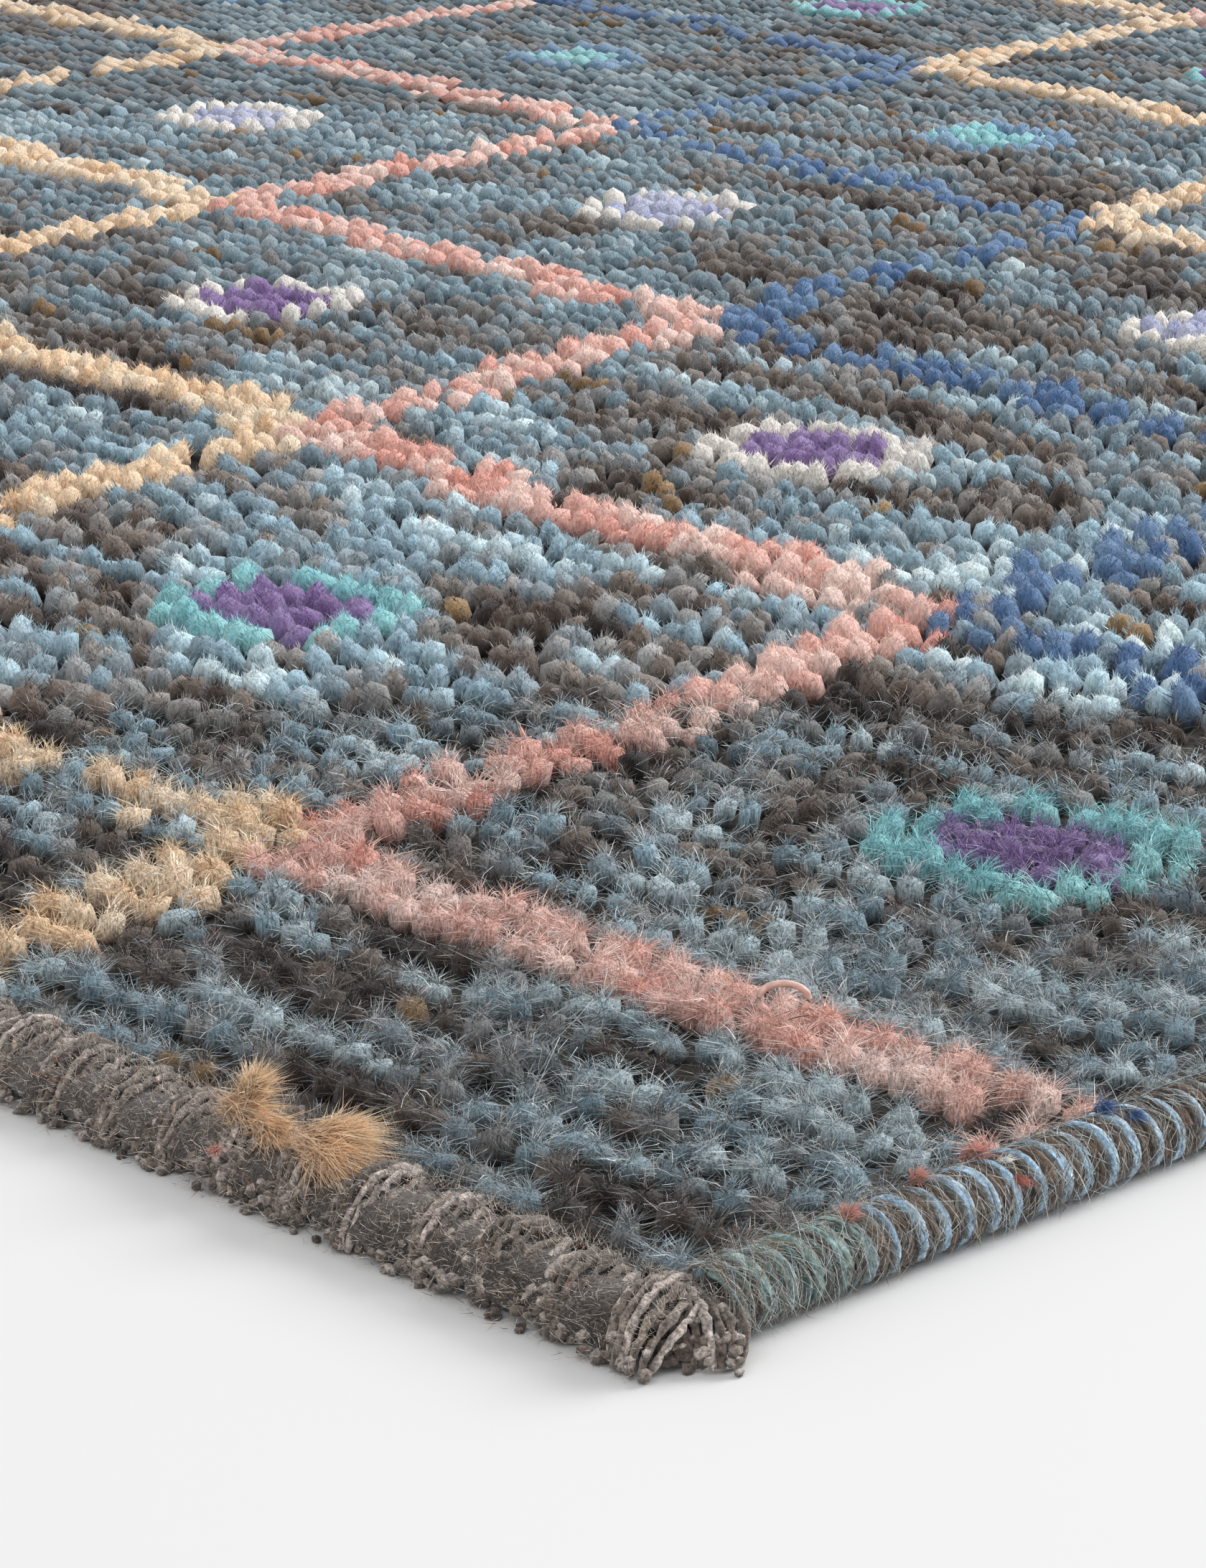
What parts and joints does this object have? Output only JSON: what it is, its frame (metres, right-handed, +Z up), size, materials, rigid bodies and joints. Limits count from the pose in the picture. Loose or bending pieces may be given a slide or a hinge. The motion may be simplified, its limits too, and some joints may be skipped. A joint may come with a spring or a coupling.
{
  "type": "hand-knotted rug",
  "caption": "Flat rectangular hand-knotted wool rug with a thick cut pile, overcast cord selvedges along the long sides and a plaited warp band at each short end.",
  "frame": {"origin": "centre of the rug's underside, on the floor", "axes": "+X across the rug along the weft, +Y along the rug's length, which is the warp, +Z up out of the pile"},
  "size_m": [1.22, 1.83, 0.0115],
  "materials": {
    "field_wool": "cut wool pile, mottled blue, grey and brown, with a trellis in apricot, pink and blue",
    "cord_wool": "overcast wool yarn in light blue and brown",
    "warp_yarn": "matt twisted grey warp yarn"
  },
  "bodies": {
    "root": {"pile_field": "field_wool", "selvedge_right": "cord_wool", "selvedge_left": "cord_wool", "plait_near": "warp_yarn", "plait_far": "warp_yarn"}
  },
  "joints": []
}
